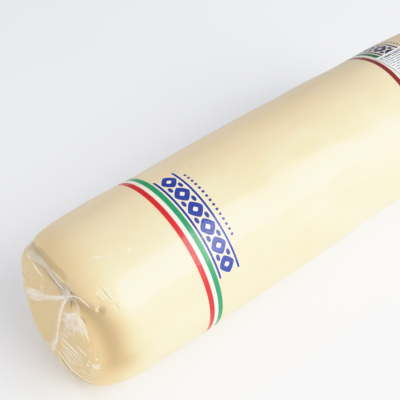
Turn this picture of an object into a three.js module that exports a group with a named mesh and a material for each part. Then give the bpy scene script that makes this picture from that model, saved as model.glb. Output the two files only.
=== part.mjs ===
// Provolone cheese in the salame shape: one long moulded log in shrunk clear film, with a paper label.
// Millimetres. X runs along the log, Z is up, and the log lies on a small flat on the plane Z = 0.
// The near end, at -X, is the one whose film is gathered above its middle. The far end is at +X.
import * as THREE from 'three';

// ---- driving dimensions ----
const RADIUS = 60; // radius of the log at its middle
const BARREL = 0.00362; // share of the radius lost one radius away from the middle; it grows with the square
const AXIS_HEIGHT = 59; // from the plane it rests on up to the log's axis, so its underside is a flat strip

const CAP_LENGTH = 39.2; // length of the rounded shoulder at each end
const CAP_EXPONENT = 2.6; // squareness of the shoulder's profile, where 2 is an ellipse
const FACE_SHARE = 0.5; // radius of the flattish end face, as a share of the log's radius
const FACE_DISC = 0.38; // the same radius in the disc that an end is drawn on
const SHOULDER_SPREAD = 1.15; // evens out the rings round the shoulder's curve
const RELIEF_FADE = 6; // how late the end's relief dies away towards the shoulder's edge

const RAYS = 84; // sides round the log
const CAP_RINGS = 20; // rings from an end's gather out to its shoulder
const BODY_STEPS = 24; // steps along the log between the two shoulders

const LABEL_START = 107.6; // X of the label's top corner next to the second band
const LABEL_LENGTH = 55; // along the log
const LABEL_WIDTH = 98; // round the log, down the -Y side
const LABEL_TOP_ANGLE = 15.5; // degrees from the top of the log to the label's top edge, towards +Y
const LABEL_ASKEW = 2.2; // degrees that the label is stuck on out of line
const LABEL_GAP = 0.3; // clear of the film
const LABEL_THICKNESS = 0.5;
const LABEL_STEPS_X = 8;
const LABEL_STEPS_ROUND = 24;

// Slow unevenness of the log's radius: height, waves round it, length of one wave along X, phase.
const WAVES = [
  { height: 0.2, round: 2, length: 150, phase: 0.4 },
  { height: 0.18, round: 3, length: 95, phase: 2.1 },
  { height: 0.14, round: 5, length: 70, phase: 4.0 },
  { height: 0.1, round: 7, length: 48, phase: 1.2 },
];

// An end is drawn on a disc of radius 1, from the middle of the face out to the shoulder's edge at its rim.
// Places on the disc are [y, z]. A crease (height below 0) or a film fold runs from the gather to its
// tip: root and tip are its half widths on the disc, and bend bows it sideways. A swell is a soft
// rise or hollow. The face leans by tilt, in Y and in Z.
const NEAR_END = {
  side: -1,
  faceX: -203.8,
  tilt: [-0.023, 0.107],
  gather: [-0.17, 0.515],
  navelDepth: 4.5,
  navelWidth: 0.085,
  folds: [
    { to: [0.7, 0.36], height: -3.0, root: 0.05, tip: 0.055, bend: 0.11 },
    { to: [-0.74, 0.08], height: -3.4, root: 0.065, tip: 0.19, bend: -0.187 },
    { to: [0.5, -0.05], height: 1.1, root: 0.03, tip: 0.07, bend: 0 },
    { to: [0.06, -0.42], height: 1.0, root: 0.03, tip: 0.05, bend: 0 },
    { to: [-0.4, 0.2], height: 0.9, root: 0.05, tip: 0.12, bend: 0 },
    { to: [-0.42, 0.6], height: 0.6, root: 0.03, tip: 0.04, bend: 0 },
  ],
  swells: [
    { at: [0.72, 0.57], height: -1.0, width: 0.12 },
    { at: [0.66, 0.27], height: 1.5, width: 0.12 },
    { at: [0.57, -0.06], height: -1.1, width: 0.2 },
    { at: [0.28, -0.42], height: 0.9, width: 0.2 },
    { at: [-0.78, -0.45], height: -1.1, width: 0.15 },
    { at: [-0.25, 0.05], height: 1.5, width: 0.3 },
    { at: [-0.64, 0.6], height: 0.8, width: 0.14 },
    { at: [-0.52, 0.575], height: -2.6, width: 0.033 }, // the pit
  ],
};

const FAR_END = {
  side: 1,
  faceX: 204.1,
  tilt: [-0.04, 0.06],
  gather: [0.1, 0.24],
  navelDepth: 4.5,
  navelWidth: 0.09,
  folds: [
    { to: [0.74, 0.12], height: -2.8, root: 0.05, tip: 0.07, bend: 0.08 },
    { to: [-0.74, 0.3], height: -2.4, root: 0.06, tip: 0.13, bend: 0.06 },
    { to: [0.34, -0.48], height: 1.1, root: 0.03, tip: 0.06, bend: 0 },
    { to: [-0.24, -0.44], height: 1.0, root: 0.03, tip: 0.05, bend: 0 },
    { to: [0.02, 0.7], height: 0.9, root: 0.03, tip: 0.06, bend: 0 },
    { to: [0.5, 0.5], height: 0.8, root: 0.04, tip: 0.1, bend: 0 },
  ],
  swells: [
    { at: [0.1, -0.3], height: 1.6, width: 0.32 },
    { at: [-0.4, -0.1], height: -0.8, width: 0.2 },
    { at: [0.5, 0.4], height: -0.8, width: 0.2 },
  ],
};

// ---- the log's surface ----
function unevenness(x, angle) {
  return WAVES.reduce((sum, wave) => {
    const turn = wave.round * angle + (2 * Math.PI * x) / wave.length + wave.phase;
    return sum + wave.height * Math.sin(turn);
  }, 0);
}

function bodyRadius(x, angle) {
  return RADIUS * (1 - BARREL * (x / RADIUS) ** 2) + unevenness(x, angle);
}

// angle runs from the top (+Z) towards +Y; nothing reaches below the plane that the log rests on
function bodyPoint(x, angle, proud = 0) {
  const radius = bodyRadius(x, angle) + proud;
  const z = AXIS_HEIGHT + radius * Math.cos(angle);
  return new THREE.Vector3(x, radius * Math.sin(angle), Math.max(z, 0));
}

function shoulderX(end) {
  return end.faceX - end.side * CAP_LENGTH;
}

// relief of one fold at the disc point [y, z]; it dies away past its two ends
function foldRelief(fold, gather, y, z) {
  const runY = fold.to[0] - gather[0];
  const runZ = fold.to[1] - gather[1];
  const length = Math.hypot(runY, runZ);
  const along = ((y - gather[0]) * runY + (z - gather[1]) * runZ) / length ** 2;
  const share = Math.min(Math.max(along, 0), 1);
  const bow = 4 * fold.bend * share * (1 - share);
  const across = ((z - gather[1]) * runY - (y - gather[0]) * runZ) / length - bow;
  const width = fold.root + (fold.tip - fold.root) * share;
  const past = (along - share) * length;
  return fold.height * Math.exp(-((across / width) ** 2) - (past / width) ** 2);
}

function hump(at, width, y, z) {
  return Math.exp(-((y - at[0]) ** 2 + (z - at[1]) ** 2) / width ** 2);
}

function endRelief(end, y, z) {
  const folds = end.folds.reduce((sum, fold) => sum + foldRelief(fold, end.gather, y, z), 0);
  const swells = end.swells.reduce((sum, swell) => sum + swell.height * hump(swell.at, swell.width, y, z), 0);
  return folds + swells - end.navelDepth * hump(end.gather, end.navelWidth, y, z);
}

function endPoint(end, y, z) {
  const disc = Math.min(Math.hypot(y, z), 1);
  const angle = Math.atan2(y, z);
  const onShoulder = Math.max(disc - FACE_DISC, 0) / (1 - FACE_DISC);
  const turn = (onShoulder ** SHOULDER_SPREAD * Math.PI) / 2;
  const spread = FACE_SHARE + (1 - FACE_SHARE) * Math.sin(turn) ** (2 / CAP_EXPONENT);
  const share = disc < FACE_DISC ? (FACE_SHARE * disc) / FACE_DISC : spread;
  const rise = Math.max(Math.cos(turn), 0) ** (2 / CAP_EXPONENT);
  const rimRadius = bodyRadius(shoulderX(end), angle);
  const sideways = [share * Math.sin(angle), share * Math.cos(angle)];
  const lean = RADIUS * rise * (end.tilt[0] * sideways[0] + end.tilt[1] * sideways[1]);
  // the relief stands square to the end in the middle and turns outwards at the shoulder
  const relief = endRelief(end, y, z) * (1 - disc ** RELIEF_FADE);
  const outwards = Math.sin((disc * Math.PI) / 2);
  const reach = CAP_LENGTH * rise - lean + relief * Math.cos((disc * Math.PI) / 2);
  const radius = share * rimRadius + relief * outwards;
  const height = AXIS_HEIGHT + radius * Math.cos(angle);
  const x = shoulderX(end) + end.side * reach;
  return new THREE.Vector3(x, radius * Math.sin(angle), Math.max(height, 0));
}

// ---- meshes ----
function closedMesh(points, faces) {
  const geometry = new THREE.BufferGeometry();
  geometry.setAttribute('position', new THREE.Float32BufferAttribute(points.flatMap((p) => p.toArray()), 3));
  geometry.setIndex(faces.flat());
  geometry.computeVertexNormals();
  return geometry;
}

// One ring of points from each gather out to its shoulder, then along the log to the other end.
function logGeometry() {
  const points = [];
  const faces = [];
  const ringStarts = [];
  const angles = Array.from({ length: RAYS }, (_, ray) => (2 * Math.PI * ray) / RAYS);

  const addEndRing = (end, share) => {
    ringStarts.push(points.length);
    for (const angle of angles) {
      const y = end.gather[0] + share * (Math.sin(angle) - end.gather[0]);
      const z = end.gather[1] + share * (Math.cos(angle) - end.gather[1]);
      points.push(endPoint(end, y, z));
    }
  };
  const addBodyRing = (x) => {
    ringStarts.push(points.length);
    for (const angle of angles) {
      points.push(bodyPoint(x, angle));
    }
  };

  const nearTip = points.push(endPoint(NEAR_END, ...NEAR_END.gather)) - 1;
  for (let ring = 1; ring < CAP_RINGS; ring += 1) {
    addEndRing(NEAR_END, ring / CAP_RINGS);
  }
  const nearX = shoulderX(NEAR_END);
  const farX = shoulderX(FAR_END);
  for (let step = 0; step <= BODY_STEPS; step += 1) {
    addBodyRing(nearX + ((farX - nearX) * step) / BODY_STEPS);
  }
  for (let ring = CAP_RINGS - 1; ring > 0; ring -= 1) {
    addEndRing(FAR_END, ring / CAP_RINGS);
  }
  const farTip = points.push(endPoint(FAR_END, ...FAR_END.gather)) - 1;

  for (let ray = 0; ray < RAYS; ray += 1) {
    const next = (ray + 1) % RAYS;
    const last = ringStarts[ringStarts.length - 1];
    faces.push([nearTip, ringStarts[0] + ray, ringStarts[0] + next]);
    faces.push([farTip, last + next, last + ray]);
    for (let ring = 0; ring + 1 < ringStarts.length; ring += 1) {
      const here = ringStarts[ring];
      const there = ringStarts[ring + 1];
      faces.push([here + ray, there + next, here + next]);
      faces.push([here + ray, there + ray, there + next]);
    }
  }
  return closedMesh(points, faces);
}

// along runs with the log and down runs round it from the label's top edge
function labelPoint(along, down, proud) {
  const askew = THREE.MathUtils.degToRad(LABEL_ASKEW);
  const x = LABEL_START + along * Math.cos(askew) - down * Math.sin(askew);
  const arc = down * Math.cos(askew) + along * Math.sin(askew);
  return bodyPoint(x, THREE.MathUtils.degToRad(LABEL_TOP_ANGLE) - arc / RADIUS, proud);
}

// A thin curved plate that follows the film, LABEL_GAP clear of it.
function labelGeometry() {
  const points = [];
  const faces = [];
  const columns = LABEL_STEPS_ROUND + 1;
  const layer = (LABEL_STEPS_X + 1) * columns;
  for (const proud of [LABEL_GAP, LABEL_GAP + LABEL_THICKNESS]) {
    for (let step = 0; step <= LABEL_STEPS_X; step += 1) {
      const along = (LABEL_LENGTH * step) / LABEL_STEPS_X;
      for (let turn = 0; turn <= LABEL_STEPS_ROUND; turn += 1) {
        points.push(labelPoint(along, (LABEL_WIDTH * turn) / LABEL_STEPS_ROUND, proud));
      }
    }
  }
  const quad = (a, b, c, d) => faces.push([a, b, c], [a, c, d]);
  for (let step = 0; step < LABEL_STEPS_X; step += 1) {
    for (let turn = 0; turn < LABEL_STEPS_ROUND; turn += 1) {
      const corner = step * columns + turn;
      const beyond = corner + columns;
      quad(corner, beyond, beyond + 1, corner + 1);
      quad(layer + corner, layer + corner + 1, layer + beyond + 1, layer + beyond);
    }
  }
  for (let step = 0; step < LABEL_STEPS_X; step += 1) {
    const top = step * columns;
    const bottom = top + LABEL_STEPS_ROUND;
    quad(top, layer + top, layer + top + columns, top + columns);
    quad(bottom, bottom + columns, layer + bottom + columns, layer + bottom);
  }
  for (let turn = 0; turn < LABEL_STEPS_ROUND; turn += 1) {
    const start = turn;
    const finish = LABEL_STEPS_X * columns + turn;
    quad(start, start + 1, layer + start + 1, layer + start);
    quad(finish, layer + finish, layer + finish + 1, finish + 1);
  }
  return closedMesh(points, faces);
}

function namedMesh(name, geometry, color, roughness) {
  const mesh = new THREE.Mesh(geometry, new THREE.MeshStandardMaterial({ color, roughness, metalness: 0 }));
  mesh.name = name;
  return mesh;
}

const provolone = new THREE.Group();
provolone.add(namedMesh('wrapped_cheese', logGeometry(), 0xefe1b9, 0.35));
provolone.add(namedMesh('paper_label', labelGeometry(), 0xf4f4f2, 0.6));

export default provolone;
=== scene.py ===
"""A provolone in the salame shape: the cheese, its shrunk clear film, the film's print and a paper label.

Metres, Z up, X along the log, which lies on the plane Z = 0. The near end is at -X.
"""

import functools
import math

import bpy
import numpy as np
from mathutils import Matrix, Vector


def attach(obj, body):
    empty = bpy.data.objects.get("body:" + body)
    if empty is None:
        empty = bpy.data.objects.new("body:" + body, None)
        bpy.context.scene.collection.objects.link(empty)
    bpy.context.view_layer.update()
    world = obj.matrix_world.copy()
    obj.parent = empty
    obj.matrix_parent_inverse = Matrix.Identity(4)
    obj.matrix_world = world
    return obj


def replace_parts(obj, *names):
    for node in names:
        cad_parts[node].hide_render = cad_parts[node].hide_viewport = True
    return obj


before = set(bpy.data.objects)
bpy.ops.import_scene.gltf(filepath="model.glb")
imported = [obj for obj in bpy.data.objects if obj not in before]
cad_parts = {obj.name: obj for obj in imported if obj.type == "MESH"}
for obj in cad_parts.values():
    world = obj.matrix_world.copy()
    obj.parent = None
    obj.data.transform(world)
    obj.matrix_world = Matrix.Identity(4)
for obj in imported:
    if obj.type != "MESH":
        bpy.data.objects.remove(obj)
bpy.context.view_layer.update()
scene = bpy.context.scene

MM = 0.001

# ---- the log, with the sizes that the CAD model has ----
RADIUS = 60 * MM
BARREL = 0.00362  # share of the radius lost one radius away from the middle
AXIS_HEIGHT = 59 * MM
CAP_LENGTH = 39.2 * MM
CAP_EXPONENT = 2.6
FACE_SHARE = 0.5
FACE_DISC = 0.38
SHOULDER_SPREAD = 1.15
RELIEF_FADE = 6

# height, waves round the log, length of one wave along it, phase
WAVES = [
    (0.20 * MM, 2, 150 * MM, 0.4),
    (0.18 * MM, 3, 95 * MM, 2.1),
    (0.14 * MM, 5, 70 * MM, 4.0),
    (0.10 * MM, 7, 48 * MM, 1.2),
]

# Places on an end are [y, z] on a disc of radius 1, whose rim is the shoulder's edge.
# A fold is its tip, height, half width at the gather and at the tip, and how far it bows sideways.
# A swell is its place, height and width.
NEAR_END = {
    "side": -1,
    "face_x": -203.8 * MM,
    "tilt": (-0.023, 0.107),
    "gather": (-0.17, 0.515),
    "navel": (4.5 * MM, 0.085),
    "folds": [
        ((0.7, 0.36), -3.0 * MM, 0.05, 0.055, 0.11),
        ((-0.74, 0.08), -3.4 * MM, 0.065, 0.19, -0.187),
        ((0.5, -0.05), 1.1 * MM, 0.03, 0.07, 0.0),
        ((0.06, -0.42), 1.0 * MM, 0.03, 0.05, 0.0),
        ((-0.4, 0.2), 0.9 * MM, 0.05, 0.12, 0.0),
        ((-0.42, 0.6), 0.6 * MM, 0.03, 0.04, 0.0),
    ],
    "swells": [
        ((0.72, 0.57), -1.0 * MM, 0.12),
        ((0.66, 0.27), 1.5 * MM, 0.12),
        ((0.57, -0.06), -1.1 * MM, 0.2),
        ((0.28, -0.42), 0.9 * MM, 0.2),
        ((-0.78, -0.45), -1.1 * MM, 0.15),
        ((-0.25, 0.05), 1.5 * MM, 0.3),
        ((-0.64, 0.6), 0.8 * MM, 0.14),
    ],
    "pits": [((-0.52, 0.575), -2.6 * MM, 0.033)],
}

FAR_END = {
    "side": 1,
    "face_x": 204.1 * MM,
    "tilt": (-0.04, 0.06),
    "gather": (0.1, 0.24),
    "navel": (4.5 * MM, 0.09),
    "folds": [
        ((0.74, 0.12), -2.8 * MM, 0.05, 0.07, 0.08),
        ((-0.74, 0.3), -2.4 * MM, 0.06, 0.13, 0.06),
        ((0.34, -0.48), 1.1 * MM, 0.03, 0.06, 0.0),
        ((-0.24, -0.44), 1.0 * MM, 0.03, 0.05, 0.0),
        ((0.02, 0.7), 0.9 * MM, 0.03, 0.06, 0.0),
        ((0.5, 0.5), 0.8 * MM, 0.04, 0.1, 0.0),
    ],
    "swells": [
        ((0.1, -0.3), 1.6 * MM, 0.32),
        ((-0.4, -0.1), -0.8 * MM, 0.2),
        ((0.5, 0.4), -0.8 * MM, 0.2),
    ],
    "pits": [],
}

# ---- how finely the pieces are meshed ----
RAYS = 384  # round the log
CAP_RINGS = 56  # from an end's gather to its shoulder
BODY_RINGS = 90  # between the two shoulders
WEB_STEPS = 60  # along a web of film
PLEAT_STEPS = 40  # along a pleat

# ---- the film ----
FILM_GAP = 0.35 * MM  # from the cheese to the film
PRINT_GAP = 0.18 * MM  # from the cheese to the print on the film's inner face
FILM_SPAN = 0.4  # share of a crease's depth that the stretched film follows
FILM_SINK = 0.75  # share of a gather's depth that it follows
FLOOR_GAP = 0.05 * MM  # what the film keeps clear of the floor
WRINKLE_HEIGHT = 0.35 * MM  # of the fine wrinkles that run out from a gather
MIRROR_HEAD_ON = 0.05  # share of mirror, head on
MIRROR_GLANCING = 0.15  # what a glancing view adds

# ---- the print on the film: two rings. Places along the log are from the middle of the red stripe ----
STRIPES = {"red": (-1.9 * MM, 2.0 * MM), "white": (2.0 * MM, 5.0 * MM), "green": (5.0 * MM, 8.8 * MM)}
RULES = ((9.9 * MM, 11.6 * MM), (25.0 * MM, 26.7 * MM))
LOZENGE_ROW = 18.3 * MM
LOZENGE_HALF = 5.8 * MM  # along the log
BLOCK_SPAN = 79.6  # degrees round the log
BLOCKS_ROUND = 2
LOZENGES = 6
OUTLINE = 0.55 * MM  # of white round the blue
DOTS = 15
DOT_ROW = 30.5 * MM
DOT_START = 8  # degrees below the block's top
DOT_SPAN = 50  # degrees
UNDER = 0.0  # layers of ink, as heights
OVER = 0.05 * MM
DOT_HALVES = (1.1 * MM, 1.0 * MM)  # along the log and round it
# Each ring's place along the log, how far it leans, how much the shrunk film stretches it, the angle in
# degrees from the top, towards +Y, where a block starts, and how bright its inks are; a share below 1
# is painted shade.
FIRST_RING = {"x": -120.3 * MM, "lean": -0.8 * MM, "stretch": 1.0, "block_top": 14.0, "bright": 1.0}
# the second ring's inks are darkened as painted shade
SECOND_RING = {"x": 102.2 * MM, "lean": 8.0 * MM, "stretch": 1.14, "block_top": 60.0, "bright": 0.66}

# ---- the label ----
LABEL_START = 107.6 * MM
LABEL_LENGTH = 55 * MM
LABEL_WIDTH = 98 * MM
LABEL_TOP_ANGLE = 15.5  # degrees
LABEL_ASKEW = 2.2  # degrees
LABEL_GAP = 0.5 * MM  # from the cheese to the paper
LABEL_THICKNESS = 0.15 * MM
LABEL_MARGIN = (1.6 * MM, 1.9 * MM)  # where the print fades out
LABEL_GRID = (40, 72)
ROW_PITCH = 2.55 * MM
ROW_HALF = 0.2  # half a row's height, as a share of the pitch
BOLD_HALF = 0.3  # the same for the bold rows
BOLD_ROWS = 2
DASH_LENGTH = 3.4 * MM

# ---- the camera ----
CAMERA_PLACE = Vector((-0.30144, -0.27078, 0.46274))
CAMERA_RIGHT = Vector((0.7771, -0.6294, 0.0))
CAMERA_UP = Vector((0.4571, 0.5643, 0.6875))
CAMERA_LENS = 66.6  # on a 36 mm sensor


# ======== the surface ========
def unevenness(x, angle):
    """How far the body stands off its barrel there."""
    return sum(
        height * np.sin(around * angle + 2 * math.pi * x / length + phase)
        for height, around, length, phase in WAVES
    )


def body_radius(x, angle):
    return RADIUS * (1 - BARREL * (x / RADIUS) ** 2) + unevenness(x, angle)


def log_point(x, radius, angle):
    """A place from its distance to the log's axis. angle runs from the top (+Z) towards +Y."""
    height = AXIS_HEIGHT + radius * np.cos(angle)
    return np.stack([x, radius * np.sin(angle), np.maximum(height, 0)], axis=-1)


def body_point(x, angle, proud=0.0):
    """A place on the cheese's body, or proud of it."""
    x, angle = np.broadcast_arrays(x, angle)
    return log_point(x, body_radius(x, angle) + proud, angle)


def shoulder_x(end):
    return end["face_x"] - end["side"] * CAP_LENGTH


def hump(at, width, y, z):
    return np.exp(-((y - at[0]) ** 2 + (z - at[1]) ** 2) / width**2)


def fold_relief(fold, gather, y, z):
    """Height of a fold that runs from the gather to its tip, at disc points."""
    tip, height, root_width, tip_width, bend = fold
    run_y, run_z = tip[0] - gather[0], tip[1] - gather[1]
    y, z = y - gather[0], z - gather[1]
    length = math.hypot(run_y, run_z)
    along = (y * run_y + z * run_z) / length**2
    share = np.clip(along, 0, 1)
    bow = 4 * bend * share * (1 - share)
    across = (z * run_y - y * run_z) / length - bow
    width = root_width + (tip_width - root_width) * share
    past = (along - share) * length
    return height * np.exp(-((across / width) ** 2) - (past / width) ** 2)


def end_relief(end, y, z, stretched):
    """The end's relief. Stretched film doesn't go down into the creases as the cheese does."""
    depth = FILM_SPAN if stretched else 1.0
    relief = sum(
        fold_relief(fold, end["gather"], y, z) * (depth if fold[1] < 0 else 1.0)
        for fold in end["folds"]
    )
    bumps = end["swells"] + end["pits"]
    relief = relief + sum(height * hump(at, width, y, z) for at, height, width in bumps)
    navel_depth, navel_width = end["navel"]
    sunk = FILM_SINK if stretched else 1.0
    return relief - sunk * navel_depth * hump(end["gather"], navel_width, y, z)


def end_point(end, y, z, stretched=False):
    """Places on an end, from disc points."""
    disc = np.minimum(np.hypot(y, z), 1)
    angle = np.arctan2(y, z)
    on_shoulder = np.maximum(disc - FACE_DISC, 0) / (1 - FACE_DISC)
    turn = on_shoulder**SHOULDER_SPREAD * math.pi / 2
    spread = FACE_SHARE + (1 - FACE_SHARE) * np.sin(turn) ** (2 / CAP_EXPONENT)
    share = np.where(disc < FACE_DISC, FACE_SHARE * disc / FACE_DISC, spread)
    rise = np.maximum(np.cos(turn), 0) ** (2 / CAP_EXPONENT)
    rim_radius = body_radius(shoulder_x(end), angle)
    sideways = end["tilt"][0] * np.sin(angle) + end["tilt"][1] * np.cos(angle)
    relief = end_relief(end, y, z, stretched) * (1 - disc**RELIEF_FADE)
    reach = CAP_LENGTH * rise - RADIUS * rise * share * sideways + relief * np.cos(disc * math.pi / 2)
    radius = share * rim_radius + relief * np.sin(disc * math.pi / 2)
    return log_point(shoulder_x(end) + end["side"] * reach, radius, angle)


def unit(vectors):
    return vectors / (np.linalg.norm(vectors, axis=-1, keepdims=True) + 1e-12)


def end_normal(end, y, z):
    """Outward normal of the film at disc points, from small steps to each side."""
    step = 0.004
    inside = np.minimum(1, 0.99 / np.maximum(np.hypot(y, z), 1e-9))
    y, z = y * inside, z * inside
    along_y = end_point(end, y + step, z, True) - end_point(end, y - step, z, True)
    along_z = end_point(end, y, z + step, True) - end_point(end, y, z - step, True)
    return end["side"] * unit(np.cross(along_y, along_z))


def film_on_end(end):
    """Gives a function that places (disc y, disc z, proud) on the film of that end."""

    def place(y, z, proud):
        lift = proud[..., None] + FILM_GAP
        return end_point(end, y, z, True) + lift * end_normal(end, y, z)

    return place


def film_on_body(along, angle, proud):
    """Places on the body's film. along is in radii from the log's middle, angle in radians."""
    return body_point(along * RADIUS, angle, proud + FILM_GAP)


# ======== meshes ========
def add_object(name, data):
    made = bpy.data.objects.new(name, data)
    scene.collection.objects.link(made)
    return made


def make_mesh(name, points, faces, material, uv=None, fields=None):
    """One smooth mesh piece that rides on the log.

    uv holds a pair for each point, and fields hold a number for each point, by name.
    """
    mesh = bpy.data.meshes.new(name)
    mesh.from_pydata(points.reshape(-1, 3).tolist(), [], faces)
    mesh.validate()
    mesh.shade_smooth()
    for field, values in (fields or {}).items():
        layer = mesh.attributes.new(field, "FLOAT", "POINT")
        layer.data.foreach_set("value", np.asarray(values, np.float32).ravel())
    if uv is not None:
        corners = np.empty(len(mesh.loops), dtype=np.int32)
        mesh.loops.foreach_get("vertex_index", corners)
        layer = mesh.uv_layers.new(name="UVMap")
        layer.data.foreach_set("uv", uv.reshape(-1, 2)[corners].astype(np.float32).ravel())
    mesh.materials.append(material)
    piece = add_object(name, mesh)
    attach(piece, "root")
    return piece


def grid_faces(rows, columns, start=0, closed=False):
    """Quads of a grid whose rows follow each other. A closed grid joins its last column to its first."""
    faces = []
    for row in range(rows - 1):
        here = start + row * columns
        there = here + columns
        for column in range(columns if closed else columns - 1):
            next_column = (column + 1) % columns
            faces.append((here + column, there + column, there + next_column, here + next_column))
    return faces


RAY_ANGLES = np.linspace(0, 2 * math.pi, RAYS, endpoint=False)
CAP_SHARES = np.linspace(0, 1, CAP_RINGS + 1)[:-1]  # of the way from the gather to the shoulder


def cap_disc(end):
    """The disc points of an end's rings."""
    y, z = end["gather"]
    shares = CAP_SHARES[:, None]
    return y + shares * (np.sin(RAY_ANGLES) - y), z + shares * (np.cos(RAY_ANGLES) - z)


def log_rings(stretched):
    """The log's points as [ring, ray, xyz], from the near gather to the far one."""
    x = np.linspace(shoulder_x(NEAR_END), shoulder_x(FAR_END), BODY_RINGS)[:, None]
    body = body_point(x, RAY_ANGLES)
    near_cap, far_cap = (end_point(end, *cap_disc(end), stretched) for end in (NEAR_END, FAR_END))
    return np.concatenate([near_cap, body, far_cap[::-1]])


def ring_normals(points):
    round_it = np.roll(points, -1, axis=1) - np.roll(points, 1, axis=1)
    along_it = np.gradient(points, axis=0)
    normals = unit(np.cross(along_it, round_it))
    # each end's first rings meet in one point, so they take the mean of the next ring
    for tip, beside in ((0, 2), (1, 2), (-1, -3), (-2, -3)):
        normals[tip] = unit(normals[beside].mean(axis=0))
    return normals


def log_mesh(name, points, material, fields):
    """A closed mesh from the rings, where the first and the last ring are one point each."""

    def flat(grid):
        return np.concatenate([grid[1:-1].reshape(-1, *grid.shape[2:]), grid[[0, -1], 0]])

    rings = len(points) - 2
    faces = grid_faces(rings, RAYS, closed=True)
    near_tip, far_tip, last = rings * RAYS, rings * RAYS + 1, (rings - 1) * RAYS
    for ray in range(RAYS):
        next_ray = (ray + 1) % RAYS
        faces.append((near_tip, ray, next_ray))
        faces.append((far_tip, last + next_ray, last + ray))
    fields = {field: flat(values) for field, values in fields.items()}
    return make_mesh(name, flat(points), faces, material, fields=fields)


# ======== materials ========
class Shader:
    """A material or a world. Its methods add a node and give what comes out of it."""

    def __init__(self, name, kind=bpy.data.materials, output="ShaderNodeOutputMaterial"):
        self.owner = kind.new(name)
        self.owner.use_nodes = True
        self.tree = self.owner.node_tree
        self.tree.nodes.clear()
        self.output = self.tree.nodes.new(output)

    def put(self, socket, value):
        if isinstance(value, bpy.types.NodeSocket):
            self.tree.links.new(value, socket)
        else:
            socket.default_value = value

    def node(self, kind, *values, settings=None, output=0, **named):
        """values go into the node's first inputs, and named ones into the inputs with that name."""
        made = self.tree.nodes.new(kind)
        for name, value in (settings or {}).items():
            setattr(made, name, value)
        for socket, value in zip(made.inputs, values):
            self.put(socket, value)
        for name, value in named.items():
            self.put(made.inputs[name.replace("_", " ")], value)
        return made.outputs[output]

    def math(self, operation, *values, clamp=False):
        settings = {"operation": operation, "use_clamp": clamp}
        return self.node("ShaderNodeMath", *values, settings=settings)

    def coordinates(self, kind="Object"):
        return self.node("ShaderNodeTexCoord", output=kind)

    def field(self, name):
        return self.node("ShaderNodeAttribute", settings={"attribute_name": name}, output="Fac")

    def noise(self, vector, scale, detail=2.0, roughness=0.5):
        """scale is one number, or one for each axis."""
        if isinstance(scale, tuple):
            vector = self.node("ShaderNodeMapping", Vector=vector, Scale=scale)
            scale = 1.0
        look = {"Scale": scale, "Detail": detail, "Roughness": roughness}
        return self.node("ShaderNodeTexNoise", vector, output="Fac", **look)

    def between(self, value, low, high, to_low=0.0, to_high=1.0):
        """The value's place between low and high, carried over to to_low and to_high."""
        return self.node("ShaderNodeMapRange", value, low, high, to_low, to_high)

    def blend(self, share, first, second):
        """Two colours in one, with that share of the second."""
        made = self.node("ShaderNodeMix", share, settings={"data_type": "RGBA"}, output=2)
        self.put(made.node.inputs[6], first)
        self.put(made.node.inputs[7], second)
        return made

    def mix(self, share, first, second):
        """Two shaders in one, with that share of the second."""
        return self.node("ShaderNodeMixShader", share, first, second)

    def bump(self, height, strength, distance):
        return self.node("ShaderNodeBump", Height=height, Strength=strength, Distance=distance)

    def principled(self, **named):
        return self.node("ShaderNodeBsdfPrincipled", **named)

    def surface(self, shader):
        """Ends the material or the world with that shader, and gives it."""
        self.tree.links.new(shader, self.output.inputs["Surface"])
        return self.owner


def rgb(red, green, blue):
    """Linear colour of an sRGB one given as 0 to 255."""
    parts = [value / 255 for value in (red, green, blue)]
    return tuple(p / 12.92 if p <= 0.04045 else ((p + 0.055) / 1.055) ** 2.4 for p in parts) + (1.0,)


CREAM = rgb(238, 221, 184)
WARM_CREAM = rgb(236, 213, 171)
PALE_CREAM = rgb(244, 230, 199)
END_CREAM = rgb(236, 207, 148)
# a darker cream painted where shade falls in the creases, the broad valley and the pit
PAINTED_SHADE_CREAM = rgb(199, 168, 114)
END_FADE = (172 * MM, 198 * MM)  # where the body's creams turn into the ends', from the log's middle
# two small specks, each as its place along and round the log in degrees, and its radius
SPECKS = [(-133.2 * MM, 7.8, 0.5 * MM), (-80.6 * MM, 11.0, 0.6 * MM)]
SPECK_GREY = rgb(120, 105, 90)


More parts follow.
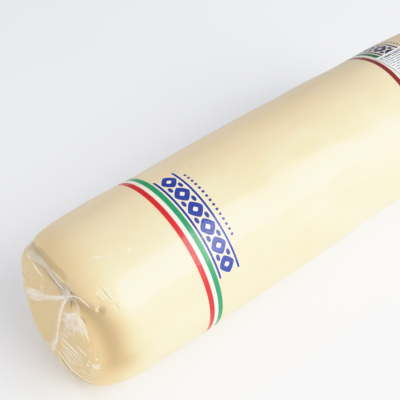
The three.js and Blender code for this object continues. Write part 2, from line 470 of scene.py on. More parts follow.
def cheese_material():
    """Cream in drifts and blotches with a fine grain, warmer at the ends, and painted shade in the creases.
    """
    s = Shader("cheese")
    place = s.coordinates()
    drift = s.noise(place, (6.0, 14.0, 14.0), 3.0, 0.55)
    blotch = s.noise(place, (22.0, 45.0, 45.0), 3.0, 0.6)
    streak = s.noise(place, (14.0, 160.0, 160.0))
    colour = s.blend(s.between(drift, 0.3, 0.7), WARM_CREAM, CREAM)
    colour = s.blend(s.between(blotch, 0.45, 0.8, 0.0, 0.55), colour, PALE_CREAM)
    colour = s.blend(s.between(streak, 0.55, 0.85, 0.0, 0.25), colour, WARM_CREAM)
    along = s.math("ABSOLUTE", s.node("ShaderNodeSeparateXYZ", place))
    colour = s.blend(s.between(along, *END_FADE, 0.0, 0.9), colour, END_CREAM)
    # painted shade in the creases, the broad valley and the pit
    colour = s.blend(s.math("MULTIPLY", s.field("painted_crease_shade"), 0.95, clamp=True), colour, PAINTED_SHADE_CREAM)
    for x, angle, radius in SPECKS:
        centre = tuple(body_point(x, math.radians(angle)).tolist())
        distance = {"settings": {"operation": "DISTANCE"}, "output": "Value"}
        away = s.node("ShaderNodeVectorMath", place, centre, **distance)
        speck = s.between(away, radius, 0.5 * radius, 0.0, 0.7)
        colour = s.blend(speck, colour, SPECK_GREY)
    grain = s.noise(place, 420.0, 3.0, 0.6)
    ripple = s.noise(place, (30.0, 55.0, 55.0))
    relief = s.math("MULTIPLY_ADD", grain, 0.12, ripple)
    shader = s.principled(
        Base_Color=colour,
        Roughness=s.between(blotch, 0.3, 0.7, 0.42, 0.55),
        Subsurface_Weight=0.25,
        Subsurface_Radius=(1.0, 0.7, 0.4),
        Subsurface_Scale=4 * MM,
        Specular_IOR_Level=0.2,
        Normal=s.bump(relief, 0.35, 0.6 * MM),
    )
    return s.surface(shader)


def film_material():
    """Clear film: a mirror that grows towards grazing angles, and a pale haze where it is gathered."""
    s = Shader("clear_film")
    place = s.coordinates()
    wave = s.noise(place, (18.0, 60.0, 60.0))
    fine = s.noise(place, (90.0, 260.0, 260.0))
    dents = s.noise(place, (26.0, 34.0, 34.0), 1.0)
    relief = s.math("MULTIPLY_ADD", dents, 1.1, s.math("MULTIPLY_ADD", fine, 0.12, wave))
    normal = s.bump(relief, 0.25, 0.6 * MM)
    sharp, soft = (
        s.node("ShaderNodeBsdfAnisotropic", Color=(1, 1, 1, 1), Roughness=roughness, Normal=normal)
        for roughness in (0.14, 0.32)
    )
    mirror = s.mix(0.6, sharp, soft)
    pale = s.principled(Base_Color=rgb(236, 229, 214), Roughness=0.28, Normal=normal)
    # the same from both sides, as the film is far thinner than a block of glass
    facing = s.node("ShaderNodeLayerWeight", Blend=0.5, output="Facing")
    glance = s.math("MULTIPLY_ADD", s.math("POWER", facing, 7.0), MIRROR_GLANCING, MIRROR_HEAD_ON)
    streaks = s.noise(place, (140.0, 60.0, 420.0), 3.0, 0.6)
    haze = s.math("MULTIPLY", s.field("haze"), s.between(streaks, 0.3, 0.65, 0.45, 1.0), clamp=True)
    hazy = s.mix(haze, s.node("ShaderNodeBsdfTransparent"), pale)
    return s.surface(s.mix(glance, hazy, mirror))


def pleat_material(name, colour, crumple, thinnest=0.55):
    """Film that lies doubled and crumpled: pale, streaky along the pleat, and glossy.

    crumple is how deep its creases are. thinnest is how much of its haze the clearest streaks keep.
    """
    s = Shader(name)
    flat = s.coordinates("UV")
    streaks = s.noise(flat, (9.0, 2.5, 1.0), 4.0, 0.65)
    creases = s.noise(flat, (22.0, 5.0, 1.0), 3.0, 0.6)
    pale = s.principled(Base_Color=colour, Roughness=0.25, Normal=s.bump(creases, 0.5, crumple))
    haze = s.math("MULTIPLY", s.field("haze"), s.between(streaks, 0.32, 0.6, thinnest, 1.15), clamp=True)
    return s.surface(s.mix(haze, s.node("ShaderNodeBsdfTransparent"), pale))


def ink_material(name, colour, worn):
    """Ink under the film, a little thinner in places."""
    s = Shader(name)
    patchy = s.noise(s.coordinates(), 260.0, 3.0, 0.6)
    shader = s.principled(
        Base_Color=s.blend(s.between(patchy, 0.35, 0.75, 0.0, 0.35), colour, worn),
        Roughness=s.between(patchy, 0.3, 0.7, 0.2, 0.3),
        Specular_IOR_Level=0.1,
    )
    return s.surface(shader)


def label_material():
    """Paper with rows of grey dashes in the place of fine print, bolder at the top."""
    s = Shader("label_paper")
    along, down, _ = s.node("ShaderNodeSeparateXYZ", s.coordinates("UV")).node.outputs
    rows = s.math("DIVIDE", down, ROW_PITCH)
    row = s.math("FLOOR", rows)
    middle = s.math("ABSOLUTE", s.math("SUBTRACT", s.math("FRACT", rows), 0.5))
    bold = s.math("LESS_THAN", row, BOLD_ROWS)
    thick = s.math("MULTIPLY_ADD", bold, BOLD_HALF - ROW_HALF, ROW_HALF)
    line = s.between(s.math("SUBTRACT", middle, thick), 0.03, -0.03)
    dashes = s.math("DIVIDE", along, DASH_LENGTH)
    where = s.node("ShaderNodeCombineXYZ", dashes, s.math("MULTIPLY", row, 7.31))
    words = s.between(s.noise(where, 1.0, roughness=0.7), 0.40, 0.44)
    edge_x = s.math("MINIMUM", along, s.math("SUBTRACT", LABEL_LENGTH, along))
    edge_y = s.math("MINIMUM", down, s.math("SUBTRACT", LABEL_WIDTH, down))
    margin = s.between(s.math("MINIMUM", edge_x, edge_y), *LABEL_MARGIN)
    ink = s.math("MULTIPLY", s.math("MULTIPLY", line, words), margin)
    tone = s.blend(bold, rgb(150, 152, 157), rgb(70, 72, 80))
    fibre = s.noise(s.coordinates(), 900.0, 2.0, 0.6)
    paper = s.blend(s.between(fibre, 0.3, 0.7), rgb(238, 239, 241), rgb(247, 247, 247))
    shader = s.principled(
        Base_Color=s.blend(ink, paper, tone),
        Roughness=s.between(ink, 0.0, 1.0, 0.42, 0.5),
        Normal=s.bump(fibre, 0.15, 0.1 * MM),
    )
    return s.surface(shader)


def floor_material():
    s = Shader("floor")
    colour = s.blend(s.noise(s.coordinates(), 1.4), rgb(249, 250, 252), rgb(252, 252, 254))
    return s.surface(s.principled(Base_Color=colour, Roughness=0.7, Specular_IOR_Level=0.2))


# ======== the cheese and the film ========
def smooth_noise(values, period, seed, waves):
    """A smooth random curve over values, which repeats after period."""
    draw = np.random.default_rng(seed)
    turn = 2 * math.pi * values / period
    total = 0.0
    for count in waves:
        total = total + draw.uniform(0.5, 1.0) * np.sin(count * turn + draw.uniform(0, 2 * math.pi))
    return total / len(waves)


def over_ends(value):
    """value(end, disc y, disc z) at each ring point of the two ends, and 0 on the body."""
    near, far = (value(end, *cap_disc(end)) for end in (NEAR_END, FAR_END))
    return np.concatenate([near, np.zeros((BODY_RINGS, RAYS)), far[::-1]])


VALLEY_SHADE = 0.9  # share of the painted shade in the broad valley, where the crease's is 1
PIT_SHADE = 0.3


def painted_crease_shade(end, y, z):
    """How much painted shade a place in a crease or a pit gets, from 0 to 1."""
    crease, valley = (fold_relief(fold, end["gather"], y, z) / fold[1] for fold in end["folds"][:2])
    pits = sum(PIT_SHADE * hump(at, width, y, z) for at, _, width in end["pits"])
    return np.clip(crease + VALLEY_SHADE * valley**1.2 + pits, 0, 1)


# the painted shade at each point of the ends
painted_crease_shades = {"painted_crease_shade": over_ends(painted_crease_shade)}
cheese = log_mesh("cheese", log_rings(stretched=False), cheese_material(), painted_crease_shades)
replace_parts(cheese, "wrapped_cheese")

# the film's fine wrinkles fade away from the gather
wrinkles = smooth_noise(RAY_ANGLES, 2 * math.pi, 5, (17, 23, 31, 41, 53, 67))
fade = np.exp(-((CAP_SHARES / 0.45) ** 2))
fade = np.concatenate([fade, np.zeros(BODY_RINGS), fade[::-1]])
lift = FILM_GAP + WRINKLE_HEIGHT * np.outer(fade, 0.5 + wrinkles)
film_rings = log_rings(stretched=True)
film_points = film_rings + lift[..., None] * ring_normals(film_rings)
film_points[..., 2] = np.maximum(film_points[..., 2], FLOOR_GAP)


def film_haze(end, y, z):
    """Haze of the film, strongest at the gather and over the first crease."""
    radial = np.clip(0.5 + 1.4 * wrinkles, 0, 1)
    gathered = 0.5 * hump(end["gather"], 0.1, y, z) + 0.05 * hump(end["gather"], 0.4, y, z)
    crease = end["folds"][0]
    return gathered * radial + 0.35 * fold_relief(crease, end["gather"], y, z) / crease[1]


haze = np.clip(over_ends(film_haze) + 0.004, 0, 1)
film = log_mesh("film", film_points, film_material(), {"haze": haze})
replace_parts(film, "wrapped_cheese")

# ======== pleats, streaks and scratches in the film ========
pleated_film = pleat_material("pleated_film", rgb(255, 246, 235), 0.3 * MM)
creased_film = pleat_material("creased_film", rgb(246, 236, 212), 0.3 * MM)
# real film wrinkles whose pale, bright colour also paints the glints off them
wrinkle_with_painted_glint = pleat_material("wrinkle_with_painted_glint", rgb(255, 245, 228), 0.02 * MM, thinnest=0.85)
# dark strips of painted shade, laid in the folds and under the lower edge of the face
painted_shade_strip = pleat_material("painted_shade_strip", rgb(150, 120, 78), 0.02 * MM, thinnest=0.7)


def curve_through(stops, steps=WEB_STEPS):
    """Points of a smooth curve through the stops, evenly spaced in its parameter."""
    stops = np.asarray(stops, float)
    padded = np.concatenate([[2 * stops[0] - stops[1]], stops, [2 * stops[-1] - stops[-2]]])
    at = np.linspace(0, len(stops) - 1, steps)
    span = np.minimum(at.astype(int), len(stops) - 2)
    t = (at - span)[:, None]
    a, b, c, d = (padded[span + k] for k in range(4))
    return 0.5 * (2 * b + (c - a) * t + (2 * a - 5 * b + 4 * c - d) * t**2 + (3 * b - a - 3 * c + d) * t**3)


def varying(shares, values, steps):
    """A value for each row, through the values at these shares of the length."""
    return np.interp(np.linspace(0, 1, steps), shares, values)[:, None]


def web(place, left, right, crown, haze, seed, ragged=0.12, fringe=0.0, arch=0.0, columns=9, base=0.1 * MM):
    """Film between two edges, each an array of places, as points, uv and haze.

    crown is how far its middle stands off, and base how far its edges do. ragged is how much its edges
    wander. haze is one number, or one for each row. As shares of its length, fringe is how uneven its
    far end is, and arch how far that end's middle stays back.
    """
    steps = len(left)
    across = np.linspace(-1, 1, columns)[None, :]
    share = np.linspace(0, 1, steps)[:, None]
    edge = [smooth_noise(share, 1.0, seed + k, (3, 5, 8, 13)) * ragged for k in (1, 2)]
    reach = across * np.where(across < 0, 1 + edge[0], 1 + edge[1])
    run = share * (1 + fringe * smooth_noise(across, 2.0, seed + 4, (5, 9, 14)) - arch * (1 - across**2))
    run = np.clip(run, 0, 1) * (steps - 1)
    low = np.minimum(run.astype(int), steps - 2)
    part = (run - low)[..., None]
    rim = [side[low] * (1 - part) + side[low + 1] * part for side in (left, right)]
    spot = rim[0] + (rim[1] - rim[0]) * (0.5 + 0.5 * reach)[..., None]
    taper = np.minimum(1, 6 * np.minimum(share, 1 - share) + 0.15)
    ripple = smooth_noise(across + 3 * share, 4.0, seed + 3, (2, 5, 9))
    proud = base + crown * taper * (1 - across**2) * (1 + 0.5 * ripple)
    points = place(spot[..., 0], spot[..., 1], proud)
    uv = np.stack(np.broadcast_arrays(across * 0.5 + seed, share), axis=-1)
    strength = haze * (1 - 0.4 * across**6) * np.minimum(1, 14 * (1 - share) + 0.4)
    return points, uv, np.broadcast_to(strength, points.shape[:2])


def pleat(
    place, route, widths, crown, haze, seed, ragged=0.12, columns=9, steps=PLEAT_STEPS, base=0.1 * MM
):
    """A strip of film along a route of places. widths are the half widths at the route's stops."""
    middle = curve_through(route, steps)
    half = varying(np.linspace(0, 1, len(widths)), widths, steps)
    forward = unit(np.gradient(middle, axis=0))
    sideways = np.stack([-forward[:, 1], forward[:, 0]], axis=-1)
    left, right = middle - half * sideways, middle + half * sideways
    return web(place, left, right, crown, haze, seed, ragged, columns=columns, base=base)


def join_strips(name, strips, material):
    """One piece from several strips."""
    faces, start = [], 0
    for points, _, _ in strips:
        rows, columns = points.shape[:2]
        faces += grid_faces(rows, columns, start)
        start += rows * columns
    points, uv, haze = (
        np.concatenate([part.reshape(-1, size) for part in parts])
        for parts, size in zip(zip(*strips), (3, 2, 1))
    )
    points[:, 2] = np.maximum(points[:, 2], FLOOR_GAP)
    piece = make_mesh(name, points, faces, material, uv=uv, fields={"haze": haze})
    # film this thin throws no shadow
    piece.visible_shadow = piece.visible_diffuse = False
    return piece


on_near_end = film_on_end(NEAR_END)
on_far_end = film_on_end(FAR_END)

# the doubled film that bridges the upper crease
near_crease = web(
    on_near_end,
    curve_through([(-0.2, 0.555), (-0.08, 0.56), (0.1, 0.555), (0.28, 0.5), (0.56, 0.36)]),
    curve_through([(-0.2, 0.58), (-0.1, 0.6), (0.05, 0.61), (0.24, 0.6), (0.52, 0.48)]),
    crown=0.5 * MM, haze=np.linspace(0.3, 0.6, WEB_STEPS)[:, None], seed=7, ragged=0.1, columns=13,
)
join_strips("near_crease", [near_crease], creased_film)

FAN_LEFT = [(-0.25, 0.53), (-0.285, 0.45), (-0.265, 0.373), (-0.214, 0.261), (-0.185, 0.12)]
FAN_RIGHT = [(-0.28, 0.553), (-0.347, 0.489), (-0.409, 0.426), (-0.455, 0.373), (-0.495, 0.325)]
FAN_END = [(-0.2, 0.13), (-0.27, 0.21), (-0.36, 0.285), (-0.45, 0.33)]


def fading(start, rest, steps=PLEAT_STEPS):
    """Haze along a pleat that is full up to start, a share of the length, and fades to rest at its end."""
    return varying([0, start, 1], [1, 1, rest], steps)


near_pleats = [
    # the lobe that lies over to the left, and its spike
    pleat(
        on_near_end,
        [
            (-0.17, 0.49), (-0.043, 0.381), (0.095, 0.27), (0.18, 0.2),
            (0.25, 0.14), (0.35, 0.05), (0.42, -0.02),
        ],
        [0.018, 0.022, 0.024, 0.05, 0.066, 0.062, 0.03],
        crown=0.7 * MM, haze=0.65, seed=23, ragged=0.15,
    ),
    pleat(
        on_near_end, [(0.08, 0.28), (0.11, 0.31), (0.14, 0.33), (0.19, 0.3)],
        [0.01, 0.009, 0.008, 0.004], crown=0.5 * MM, haze=0.8, seed=29,
    ),
    # the narrow ridge down the face
    pleat(
        on_near_end,
        [
            (-0.18, 0.481), (-0.159, 0.359), (-0.117, 0.149),
            (-0.083, -0.021), (-0.021, -0.213), (0.055, -0.454),
        ],
        [0.013, 0.017, 0.015, 0.014, 0.02, 0.02],
        crown=0.9 * MM, haze=0.8 * fading(0.8, 0.2), seed=37,
    ),
    # the flared film at the ridge's lower end
    pleat(
        on_near_end, [(-0.065, -0.1), (-0.02, -0.22), (0.03, -0.33), (0.08, -0.42)],
        [0.01, 0.025, 0.045, 0.06], crown=0.3 * MM, haze=0.3 * fading(0.8, 0.4), seed=59,
    ),
    # the fan
    web(
        on_near_end,
        curve_through(FAN_LEFT),
        curve_through(FAN_RIGHT),
        crown=0.4 * MM, haze=varying([0, 0.3, 0.5, 1], [0.1, 0.15, 0.6, 0.5], WEB_STEPS),
        seed=41, ragged=0.06, fringe=0.1, arch=0.12, columns=25,
    ),
    # the band that leads from the gather into the fan
    pleat(
        on_near_end, [(-0.235, 0.545), (-0.28, 0.543), (-0.319, 0.51), (-0.353, 0.467)],
        [0.01, 0.016, 0.018, 0.014], crown=0.4 * MM, haze=0.3, seed=47,
    ),
    # the narrow pleat to the right of the gather
    pleat(
        on_near_end, [(-0.25, 0.565), (-0.288, 0.583), (-0.359, 0.587), (-0.433, 0.563)],
        [0.007, 0.006, 0.006, 0.003], crown=0.4 * MM, haze=0.7, seed=53,
    ),
]
join_strips("near_pleats", near_pleats, pleated_film)

far_pleats = [
    pleat(
        on_far_end, [(0.1, 0.24), (0.28, 0.26), (0.48, 0.24), (0.66, 0.16)],
        [0.014, 0.02, 0.02, 0.03], crown=0.9 * MM, haze=0.65 * fading(0.6, 0.0), seed=61,
    ),
    pleat(
        on_far_end, [(0.08, 0.22), (0.18, 0.02), (0.27, -0.2), (0.34, -0.48)],
        [0.014, 0.03, 0.04, 0.07], crown=0.8 * MM, haze=0.65 * fading(0.5, 0.0), seed=67, ragged=0.25,
    ),
    pleat(
        on_far_end, [(0.06, 0.22), (-0.05, 0.02), (-0.15, -0.2), (-0.24, -0.44)],
        [0.012, 0.02, 0.024, 0.045], crown=1.0 * MM, haze=0.65 * fading(0.5, 0.0), seed=71,
    ),
    web(
        on_far_end,
        curve_through([(0.08, 0.28), (0.0, 0.42), (-0.06, 0.56), (-0.1, 0.7)]),
        curve_through([(0.12, 0.28), (0.14, 0.42), (0.15, 0.55), (0.13, 0.66)]),
        crown=0.5 * MM, haze=0.6 * fading(0.4, 0.25, WEB_STEPS),
        seed=73, ragged=0.1, fringe=0.08, arch=0.1, columns=25,
    ),
]
join_strips("far_pleats", far_pleats, pleated_film)


def wrinkle(place, route, half, haze, seed):
    """A fine line in the film, along a route of places, narrower at its ends."""
    widths = [0.4 * half] + [half] * (len(route) - 2) + [0.4 * half]
    if len(route) == 2:
        widths = [half, 0.5 * half]
    return pleat(
        place, route, widths, crown=0.06 * MM, haze=haze, seed=seed,
        ragged=0.2, columns=5, steps=6 * len(route), base=0.15 * MM,
    )


def scattered(place, count, seed, route_of, halves, hazes, haze=1.0):
    """Wrinkles along the routes that route_of(draw, number) gives, of random widths and hazes."""
    draw = np.random.default_rng(seed)
    made = []
    for number in range(count):
        route = route_of(draw, number)
        half = draw.uniform(*halves)
        made.append(wrinkle(place, route, half, haze * draw.uniform(*hazes), seed + number))
    return made


def streaks(place, count, seed, centre, spread, run, lengths, halves, haze):
    """Short bright wrinkles, scattered about a centre and lying nearly along run."""

    def route_of(draw, _):
        start = np.array(centre) + draw.normal(size=2) * spread
        way = np.array(Matrix.Rotation(draw.normal() * 0.12, 2) @ Vector(run).normalized())
        length = draw.uniform(*lengths)
        bow = draw.normal() * 0.06 * length * np.array([-way[1], way[0]])
        return [start, start + 0.5 * length * way + bow, start + length * way]

    return scattered(place, count, seed, route_of, halves, (0.6, 1.0), haze)


def gathered(place, end, count, seed):
    """Fine lines that run out from the gather."""

    def route_of(draw, number):
        angle = 2 * math.pi * (number + draw.uniform(-0.3, 0.3)) / count
        way = np.array([math.cos(angle), math.sin(angle)])
        start, stop = draw.uniform(0.0, 0.012), draw.uniform(0.05, 0.12)
        return [end["gather"] + reach * way for reach in (start, (start + stop) / 2, stop)]

    return scattered(place, count, seed, route_of, (0.005, 0.009), (0.7, 1.0))


def feathers(place, edge, count, way, seed):
    """Strands that stick out of a web along one of its edges."""
    roots = curve_through(edge, count)

    def route_of(draw, number):
        strand = np.array(way) * draw.uniform(0.5, 1.4) + draw.normal(size=2) * 0.012
        return [roots[number] + part * strand for part in (-0.6, 0.3, 1.0)]

    return scattered(place, count, seed, route_of, (0.006, 0.009), (0.6, 0.95))


# the long wrinkles of the near end, pale with painted glints, each as its route and half width
NEAR_STREAKS = [
    ([(-0.11, -0.02), (-0.206, -0.009), (-0.28, 0.004), (-0.43, -0.005)], 0.013),
    ([(-0.13, 0.05), (-0.2, 0.0), (-0.241, -0.005), (-0.404, 0.04)], 0.012),
    ([(-0.36, 0.135), (-0.422, 0.113), (-0.489, 0.1)], 0.014),
    ([(-0.16, -0.158), (-0.274, -0.122), (-0.387, -0.117)], 0.012),
    ([(-0.276, -0.056), (-0.426, -0.044)], 0.011),
    ([(-0.139, -0.216), (-0.25, -0.2), (-0.362, -0.185)], 0.012),
    ([(-0.101, -0.25), (-0.2, -0.245), (-0.33, -0.23)], 0.01),
    ([(-0.184, -0.089), (-0.242, -0.076)], 0.011),
    ([(-0.387, -0.18), (-0.478, -0.171)], 0.01),
    ([(-0.151, 0.067), (-0.228, 0.083)], 0.01),
    ([(-0.26, 0.173), (-0.307, 0.176)], 0.011),
    ([(-0.016, -0.336), (-0.08, -0.343), (-0.152, -0.326)], 0.009),
    # the lower edge of the face
    ([(-0.021, -0.323), (-0.107, -0.331), (-0.172, -0.351), (-0.33, -0.332), (-0.5, -0.333)], 0.015),
    # in and beside the crease
    ([(0.319, 0.463), (0.249, 0.459), (0.112, 0.463)], 0.014),
    ([(0.097, 0.562), (-0.014, 0.562), (-0.103, 0.54), (-0.216, 0.55)], 0.008),
    ([(0.04, 0.614), (-0.048, 0.613), (-0.124, 0.615)], 0.005),
    ([(0.492, 0.403), (0.364, 0.455)], 0.006),
    # the knot of the gather
    ([(-0.183, 0.461), (-0.19, 0.51), (-0.242, 0.554)], 0.01),
    ([(-0.16, 0.535), (-0.22, 0.555), (-0.29, 0.583)], 0.009),
]
# the taut edge over the crease's end, and what shows of the seam round the face, both with painted glints
NEAR_SEAMS = [
    ([(0.61, 0.36), (0.558, 0.522), (0.565, 0.657)], 0.006),
    ([(0.577, 0.38), (0.6, 0.22), (0.575, 0.05)], 0.007),
    ([(0.5, -0.15), (0.38, -0.27), (0.305, -0.326), (0.219, -0.354), (0.109, -0.355)], 0.006),
]
# a painted highlight on the pit's lit left rim
PAINTED_PIT_HIGHLIGHT = [([(-0.49, 0.6), (-0.487, 0.57), (-0.505, 0.546)], 0.01)]
# the scratches beyond the pit
SHOULDER_SCRATCHES = [
    ([(-0.417, 0.771), (-0.501, 0.727), (-0.601, 0.659)], 0.007),
    ([(-0.423, 0.737), (-0.5, 0.695), (-0.56, 0.66)], 0.006),
    ([(-0.422, 0.693), (-0.504, 0.665)], 0.009),
    ([(-0.415, 0.712), (-0.485, 0.69)], 0.006),
    ([(-0.476, 0.754), (-0.558, 0.712)], 0.006),
    ([(-0.581, 0.635), (-0.62, 0.62), (-0.645, 0.596)], 0.006),
]
# marks in the body's film, each place as its distance along the log in radii and its angle
BODY_STREAKS = [
    ([(-2.577, -0.319), (-2.55, -0.327), (-2.53, -0.333)], 0.012),
    ([(-2.585, -0.37), (-2.545, -0.345)], 0.01),
    ([(-2.829, -0.585), (-2.793, -0.592)], 0.012),
    ([(-2.914, -0.213), (-2.88, -0.235), (-2.842, -0.255)], 0.009),
    ([(-2.98, 0.674), (-2.92, 0.705), (-2.854, 0.735)], 0.014),
    ([(-1.765, 0.787), (-1.68, 0.682), (-1.617, 0.578)], 0.008),
]
# scattered wrinkles: how many, seed, centre, spread, direction, range of lengths, of half widths, haze
NEAR_SCATTER = [
    (16, 101, (-0.17, -0.13), (0.07, 0.08), (-1.0, 0.08), (0.04, 0.12), (0.006, 0.01), 0.9),
    (24, 211, (-0.53, 0.0), (0.04, 0.07), (-1.0, 0.1), (0.012, 0.035), (0.008, 0.012), 1.0),
    (9, 353, (0.46, 0.24), (0.04, 0.07), (-0.5, -1.0), (0.015, 0.04), (0.007, 0.011), 0.9),
]
FAR_SCATTER = [
    (16, 503, (0.5, -0.08), (0.04, 0.12), (-1.0, 0.12), (0.06, 0.16), (0.006, 0.01), 0.9),
    (16, 557, (-0.1, -0.15), (0.03, 0.08), (-1.0, 0.3), (0.015, 0.04), (0.006, 0.009), 0.9),
    (8, 601, (-0.3, 0.3), (0.08, 0.08), (-1.0, -0.2), (0.06, 0.16), (0.004, 0.006), 0.7),
]
near_wrinkles = [
    wrinkle(place, route, half, strength, seed + number)
    for place, routes, strength, seed in (
        (on_near_end, NEAR_STREAKS, 1.0, 401),
        (on_near_end, NEAR_SEAMS, 0.4, 431),
        (on_near_end, PAINTED_PIT_HIGHLIGHT, 0.33, 451),
        (on_near_end, SHOULDER_SCRATCHES, 0.36, 452),
        (film_on_body, BODY_STREAKS, 0.6, 171),
    )
    for number, (route, half) in enumerate(routes)
]
for scatter in NEAR_SCATTER:
    near_wrinkles += streaks(on_near_end, *scatter)
near_wrinkles += gathered(on_near_end, NEAR_END, 17, 661)
near_wrinkles += feathers(on_near_end, [(-0.27, 0.4), *FAN_LEFT[2:4]], 9, (0.065, -0.05), 131)
near_wrinkles += feathers(on_near_end, FAN_END, 8, (-0.03, -0.035), 151)
join_strips("near_wrinkles", near_wrinkles, wrinkle_with_painted_glint)

# narrow strips of painted shade between the folds, each as its route, half width and strength
NEAR_PAINTED_SHADE_STRIPS = [
    ([(0.115, 0.532), (-0.011, 0.532), (-0.134, 0.508)], 0.012, 0.5),
    (
        [(0.426, 0.563), (0.3, 0.615), (0.175, 0.645), (0.047, 0.655), (-0.077, 0.66), (-0.171, 0.645)],
        0.036, 0.24,
    ),
    ([(-0.352, 0.458), (-0.398, 0.437), (-0.456, 0.412)], 0.01, 0.6),
    ([(-0.225, 0.53), (-0.25, 0.49), (-0.262, 0.44)], 0.02, 0.45),
    # painted shade beside the scratches of the shoulder
    ([(-0.434, 0.747), (-0.483, 0.72), (-0.537, 0.689), (-0.575, 0.667)], 0.005, 0.4),
    ([(-0.43, 0.675), (-0.47, 0.662), (-0.51, 0.648)], 0.005, 0.4),
    ([(-0.597, 0.656), (-0.634, 0.63), (-0.668, 0.598)], 0.005, 0.3),
    # the shade under the lower edge of the face
    ([(-0.07, -0.38), (-0.162, -0.395), (-0.269, -0.4), (-0.388, -0.385), (-0.54, -0.37)], 0.036, 0.5),
]
near_painted_shade_strips = []
for number, (route, half, strength) in enumerate(NEAR_PAINTED_SHADE_STRIPS):
    points, uv, shade = wrinkle(on_near_end, route, half, strength, 901 + number)
    along, across = (np.linspace(-1, 1, count) for count in points.shape[:2])
    soft_edges = np.outer(1 - along**6, 1 - across**4)
    near_painted_shade_strips.append((points, uv, shade * soft_edges))
join_strips("near_painted_shade_strips", near_painted_shade_strips, painted_shade_strip)

far_wrinkles = gathered(on_far_end, FAR_END, 17, 677)
for scatter in FAR_SCATTER:
    far_wrinkles += streaks(on_far_end, *scatter)
join_strips("far_wrinkles", far_wrinkles, wrinkle_with_painted_glint)

# ======== the print ========
# each ink as its colour and the one where it is thinner
INKS = {
    "print_red": (rgb(206, 0, 6), rgb(216, 10, 16)),
    "print_white": (rgb(242, 233, 218), rgb(236, 225, 206)),
    "print_green": (rgb(0, 148, 94), rgb(4, 164, 108)),
    "print_blue": (rgb(12, 48, 148), rgb(24, 66, 164)),
}


@functools.cache
def ink(name, bright):
    """The ink's material. Where bright is below 1 the ink is darker as painted shade, apart from white."""
    share = 1.0 if name == "print_white" else bright**2.2
    tones = [tuple(part * share for part in tone[:3]) + (1.0,) for tone in INKS[name]]
    return ink_material(f"{name}_{bright:g}".replace(".", "_"), *tones)


def printed(ring, x, angle, proud):
    """Places of print, which follows the cheese just under the film."""
    along = ring["x"] + ring["stretch"] * x + ring["lean"] * np.sin(angle)
    return body_point(along, angle, PRINT_GAP + proud)


def printed_strip(ring, span, from_angle, to_angle, proud):
    """A band of print between two places along the log and two angles, in degrees."""
    rows = max(3, int(abs(to_angle - from_angle) * RAYS / 360) + 1)
    angle = np.radians(np.linspace(from_angle, to_angle, rows))[:, None]
    x = np.linspace(*span, 4)[None, :]
    return printed(ring, x, angle, proud)


def printed_spot(ring, x, angle, half_x, half_arc, power, proud):
    """A lozenge (power near 1) or an oval (power 2), from its middle out."""
    turn = np.linspace(0, 2 * math.pi, 33)[None, :]
    out = np.linspace(0, 1, 5)[:, None]
    corner = (np.abs(np.cos(turn)) ** power + np.abs(np.sin(turn)) ** power) ** (-1 / power)
    across = x + half_x * out * corner * np.cos(turn)
    arc = half_arc * out * corner * np.sin(turn)
    return printed(ring, across, math.radians(angle) + arc / RADIUS, proud)


def print_piece(name, grids, slot, bright):
    """One piece of print from several grids of places. Ink has no haze and needs no uv."""
    strips = [(grid, 0 * grid[..., :2], 0 * grid[..., 0]) for grid in grids]
    return join_strips(name, strips, ink(slot, bright))


def print_ring(name, ring):
    """Three stripes all round and, in each block, a row of lozenges and dots between two rules."""
    bright = ring["bright"]
    for stripe, span in STRIPES.items():
        band = printed_strip(ring, span, 0, 360, UNDER)
        print_piece(f"{name}_{stripe}_stripe", [band], f"print_{stripe}", bright)
    blue, white = [], []
    pitch = BLOCK_SPAN / LOZENGES
    pitch_arc = math.radians(pitch) * RADIUS
    for block in range(BLOCKS_ROUND):
        top = ring["block_top"] + block * 360 / BLOCKS_ROUND
        bottom = top - BLOCK_SPAN
        for start, stop in RULES:
            blue.append(printed_strip(ring, (start, stop), top, bottom, OVER))
            outline = (start - OUTLINE, stop + OUTLINE)
            white.append(printed_strip(ring, outline, top + 0.4, bottom - 0.4, UNDER))
        for number in range(LOZENGES):
            angle = top - (number + 0.5) * pitch
            for marks, half_x, half_arc, power, proud in (
                (blue, LOZENGE_HALF, 0.46 * pitch_arc, 1.3, OVER),
                (white, LOZENGE_HALF + OUTLINE, 0.46 * pitch_arc + OUTLINE, 1.3, UNDER),
                (white, 0.34 * LOZENGE_HALF, 0.14 * pitch_arc, 1.15, 2 * OVER),
            ):
                marks.append(printed_spot(ring, LOZENGE_ROW, angle, half_x, half_arc, power, proud))
        for number in range(LOZENGES - 1):
            angle = top - (number + 1) * pitch
            for side in (-1, 1):
                x = LOZENGE_ROW + side * 0.7 * LOZENGE_HALF
                blue.append(printed_spot(ring, x, angle, 0.24 * LOZENGE_HALF, 0.17 * pitch_arc, 2, OVER))
        for number in range(DOTS):
            angle = top - DOT_START - number * DOT_SPAN / (DOTS - 1)
            blue.append(printed_spot(ring, DOT_ROW, angle, *DOT_HALVES, 2, OVER))
    print_piece(f"{name}_blue", blue, "print_blue", bright)
    print_piece(f"{name}_outline", white, "print_white", bright)


print_ring("first_ring", FIRST_RING)
print_ring("second_ring", SECOND_RING)


# ======== the label ========
def label_points(along, down, proud):
    """Places of the label from distances along the log and down from its upper edge."""
    askew = math.radians(LABEL_ASKEW)
    x = LABEL_START + along * math.cos(askew) - down * math.sin(askew)
    arc = down * math.cos(askew) + along * math.sin(askew)
    return body_point(x, math.radians(LABEL_TOP_ANGLE) - arc / RADIUS, proud)


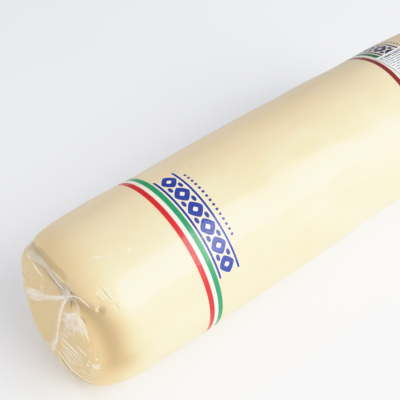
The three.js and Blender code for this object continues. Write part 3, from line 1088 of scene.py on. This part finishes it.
def make_label():
    """The paper's outer face, its thin edges and its inner face, in one closed grid folded round."""
    rows, columns = LABEL_GRID
    along = np.linspace(0, LABEL_LENGTH, rows)[:, None]
    down = np.linspace(0, LABEL_WIDTH, columns)[None, :]
    grids = [label_points(along, down, LABEL_GAP + lift) for lift in (LABEL_THICKNESS, 0.0)]
    points = np.concatenate([g.reshape(-1, 3) for g in grids])
    flat = np.stack(np.broadcast_arrays(along, down), axis=-1).reshape(-1, 2)
    layer = rows * columns
    faces = [face[::-1] for face in grid_faces(rows, columns)]
    faces += [tuple(layer + corner for corner in face[::-1]) for face in faces]
    corners = np.arange(layer).reshape(rows, columns).tolist()
    rim = corners[0] + [row[-1] for row in corners[1:]]
    rim += corners[-1][-2::-1] + [row[0] for row in corners[-2:0:-1]]
    for here, there in zip(rim, rim[1:] + rim[:1]):
        faces.append((here, there, layer + there, layer + here))
    uv = np.concatenate([flat, flat])
    return make_mesh("label", points, faces, label_material(), uv=uv)


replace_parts(make_label(), "paper_label")

# ======== the stage ========
FLOOR_HALF = 30.0
FLOOR_DROP = 0.1 * MM
floor_mesh = bpy.data.meshes.new("floor")
floor_corners = [(x * FLOOR_HALF, y * FLOOR_HALF, 0) for x, y in ((-1, -1), (1, -1), (1, 1), (-1, 1))]
floor_mesh.from_pydata(floor_corners, [], [(0, 1, 2, 3)])
floor_mesh.materials.append(floor_material())
floor = add_object("floor", floor_mesh)
floor.location.z = -FLOOR_DROP

SHOWN_MIDDLE = Vector((-0.08, 0.0, AXIS_HEIGHT))  # of the part that the camera sees


def hang_lamp(name, lamp, target, away):
    """The lamp, hung that far away from its target and turned to face it."""
    holder = add_object(name, lamp)
    holder.location = target + away
    holder.rotation_euler = away.to_track_quat("Z", "Y").to_euler()
    return holder


def soft_box(name, azimuth, elevation, distance, width, height, radiance, colour=(1, 1, 1)):
    """A rectangular lamp that faces the log. Azimuth 0 is at +X and -90 at -Y.

    radiance is how bright its face looks.
    """
    lamp = bpy.data.lights.new(name, "AREA")
    lamp.shape = "RECTANGLE"
    lamp.size, lamp.size_y = width, height
    lamp.energy = radiance * width * height * math.pi
    lamp.color = colour
    turn, rise = math.radians(azimuth), math.radians(elevation)
    way = Vector((math.cos(turn) * math.cos(rise), math.sin(turn) * math.cos(rise), math.sin(rise)))
    hang_lamp(name, lamp, SHOWN_MIDDLE, way * distance)


soft_box("key", -62, 40, 1.8, 1.45, 1.25, 3.5)
soft_box("low_fill", -58, 10, 2.2, 3.0, 1.0, 1.05)
soft_box("face_fill", 185, 14, 1.4, 1.4, 1.0, 0.34, colour=(1.0, 0.93, 0.82))

# a spot from behind brightens the top of the near part, without a highlight of its own
glow = bpy.data.lights.new("top_glow", "SPOT")
glow.spot_size = math.radians(16)
glow.spot_blend = 1.0
glow.shadow_soft_size = 0.2
glow.energy = 31.0
glow_way = Vector((-0.1, 0.8, 0.56)).normalized()
hang_lamp("top_glow", glow, Vector((-0.13, 0.02, 0.1)), glow_way * 1.3).visible_glossy = False

# the room's light, dimmer from the back
sky = Shader("studio", bpy.data.worlds, "ShaderNodeOutputWorld")
_, back, _ = sky.node("ShaderNodeSeparateXYZ", sky.coordinates("Generated")).node.outputs
strength = sky.between(back, -0.3, 0.9, 0.77, 0.4)
scene.world = sky.surface(sky.node("ShaderNodeBackground", (0.93, 0.95, 1.0, 1.0), strength))

camera = add_object("camera", bpy.data.cameras.new("camera"))
camera.data.lens = CAMERA_LENS
camera.data.sensor_width = 36
camera.data.clip_end = 50
turned = Matrix((CAMERA_RIGHT, CAMERA_UP, CAMERA_RIGHT.cross(CAMERA_UP))).transposed()
camera.matrix_world = Matrix.Translation(CAMERA_PLACE) @ turned.to_4x4()
scene.camera = camera

# How light turns into tones: evenly up to LINEAR_UNTIL, then along a soft shoulder up to WHITE_AT.
LINEAR_UNTIL = 0.8
WHITE_AT = 2.0
TONE_SHOULDER = ((0.9, 0.862), (1.0, 0.908), (1.1, 0.94), (1.25, 0.97), (1.5, 0.99))
view = scene.view_settings
view.view_transform = "Standard"
view.use_curve_mapping = True
tone = view.curve_mapping
tone.white_level = (WHITE_AT,) * 3
curve = tone.curves[3]
for light, shown in ((LINEAR_UNTIL, LINEAR_UNTIL), *TONE_SHOULDER):
    curve.points.new(light / WHITE_AT, shown)
for point in list(curve.points)[:2]:
    point.handle_type = "VECTOR"
tone.update()
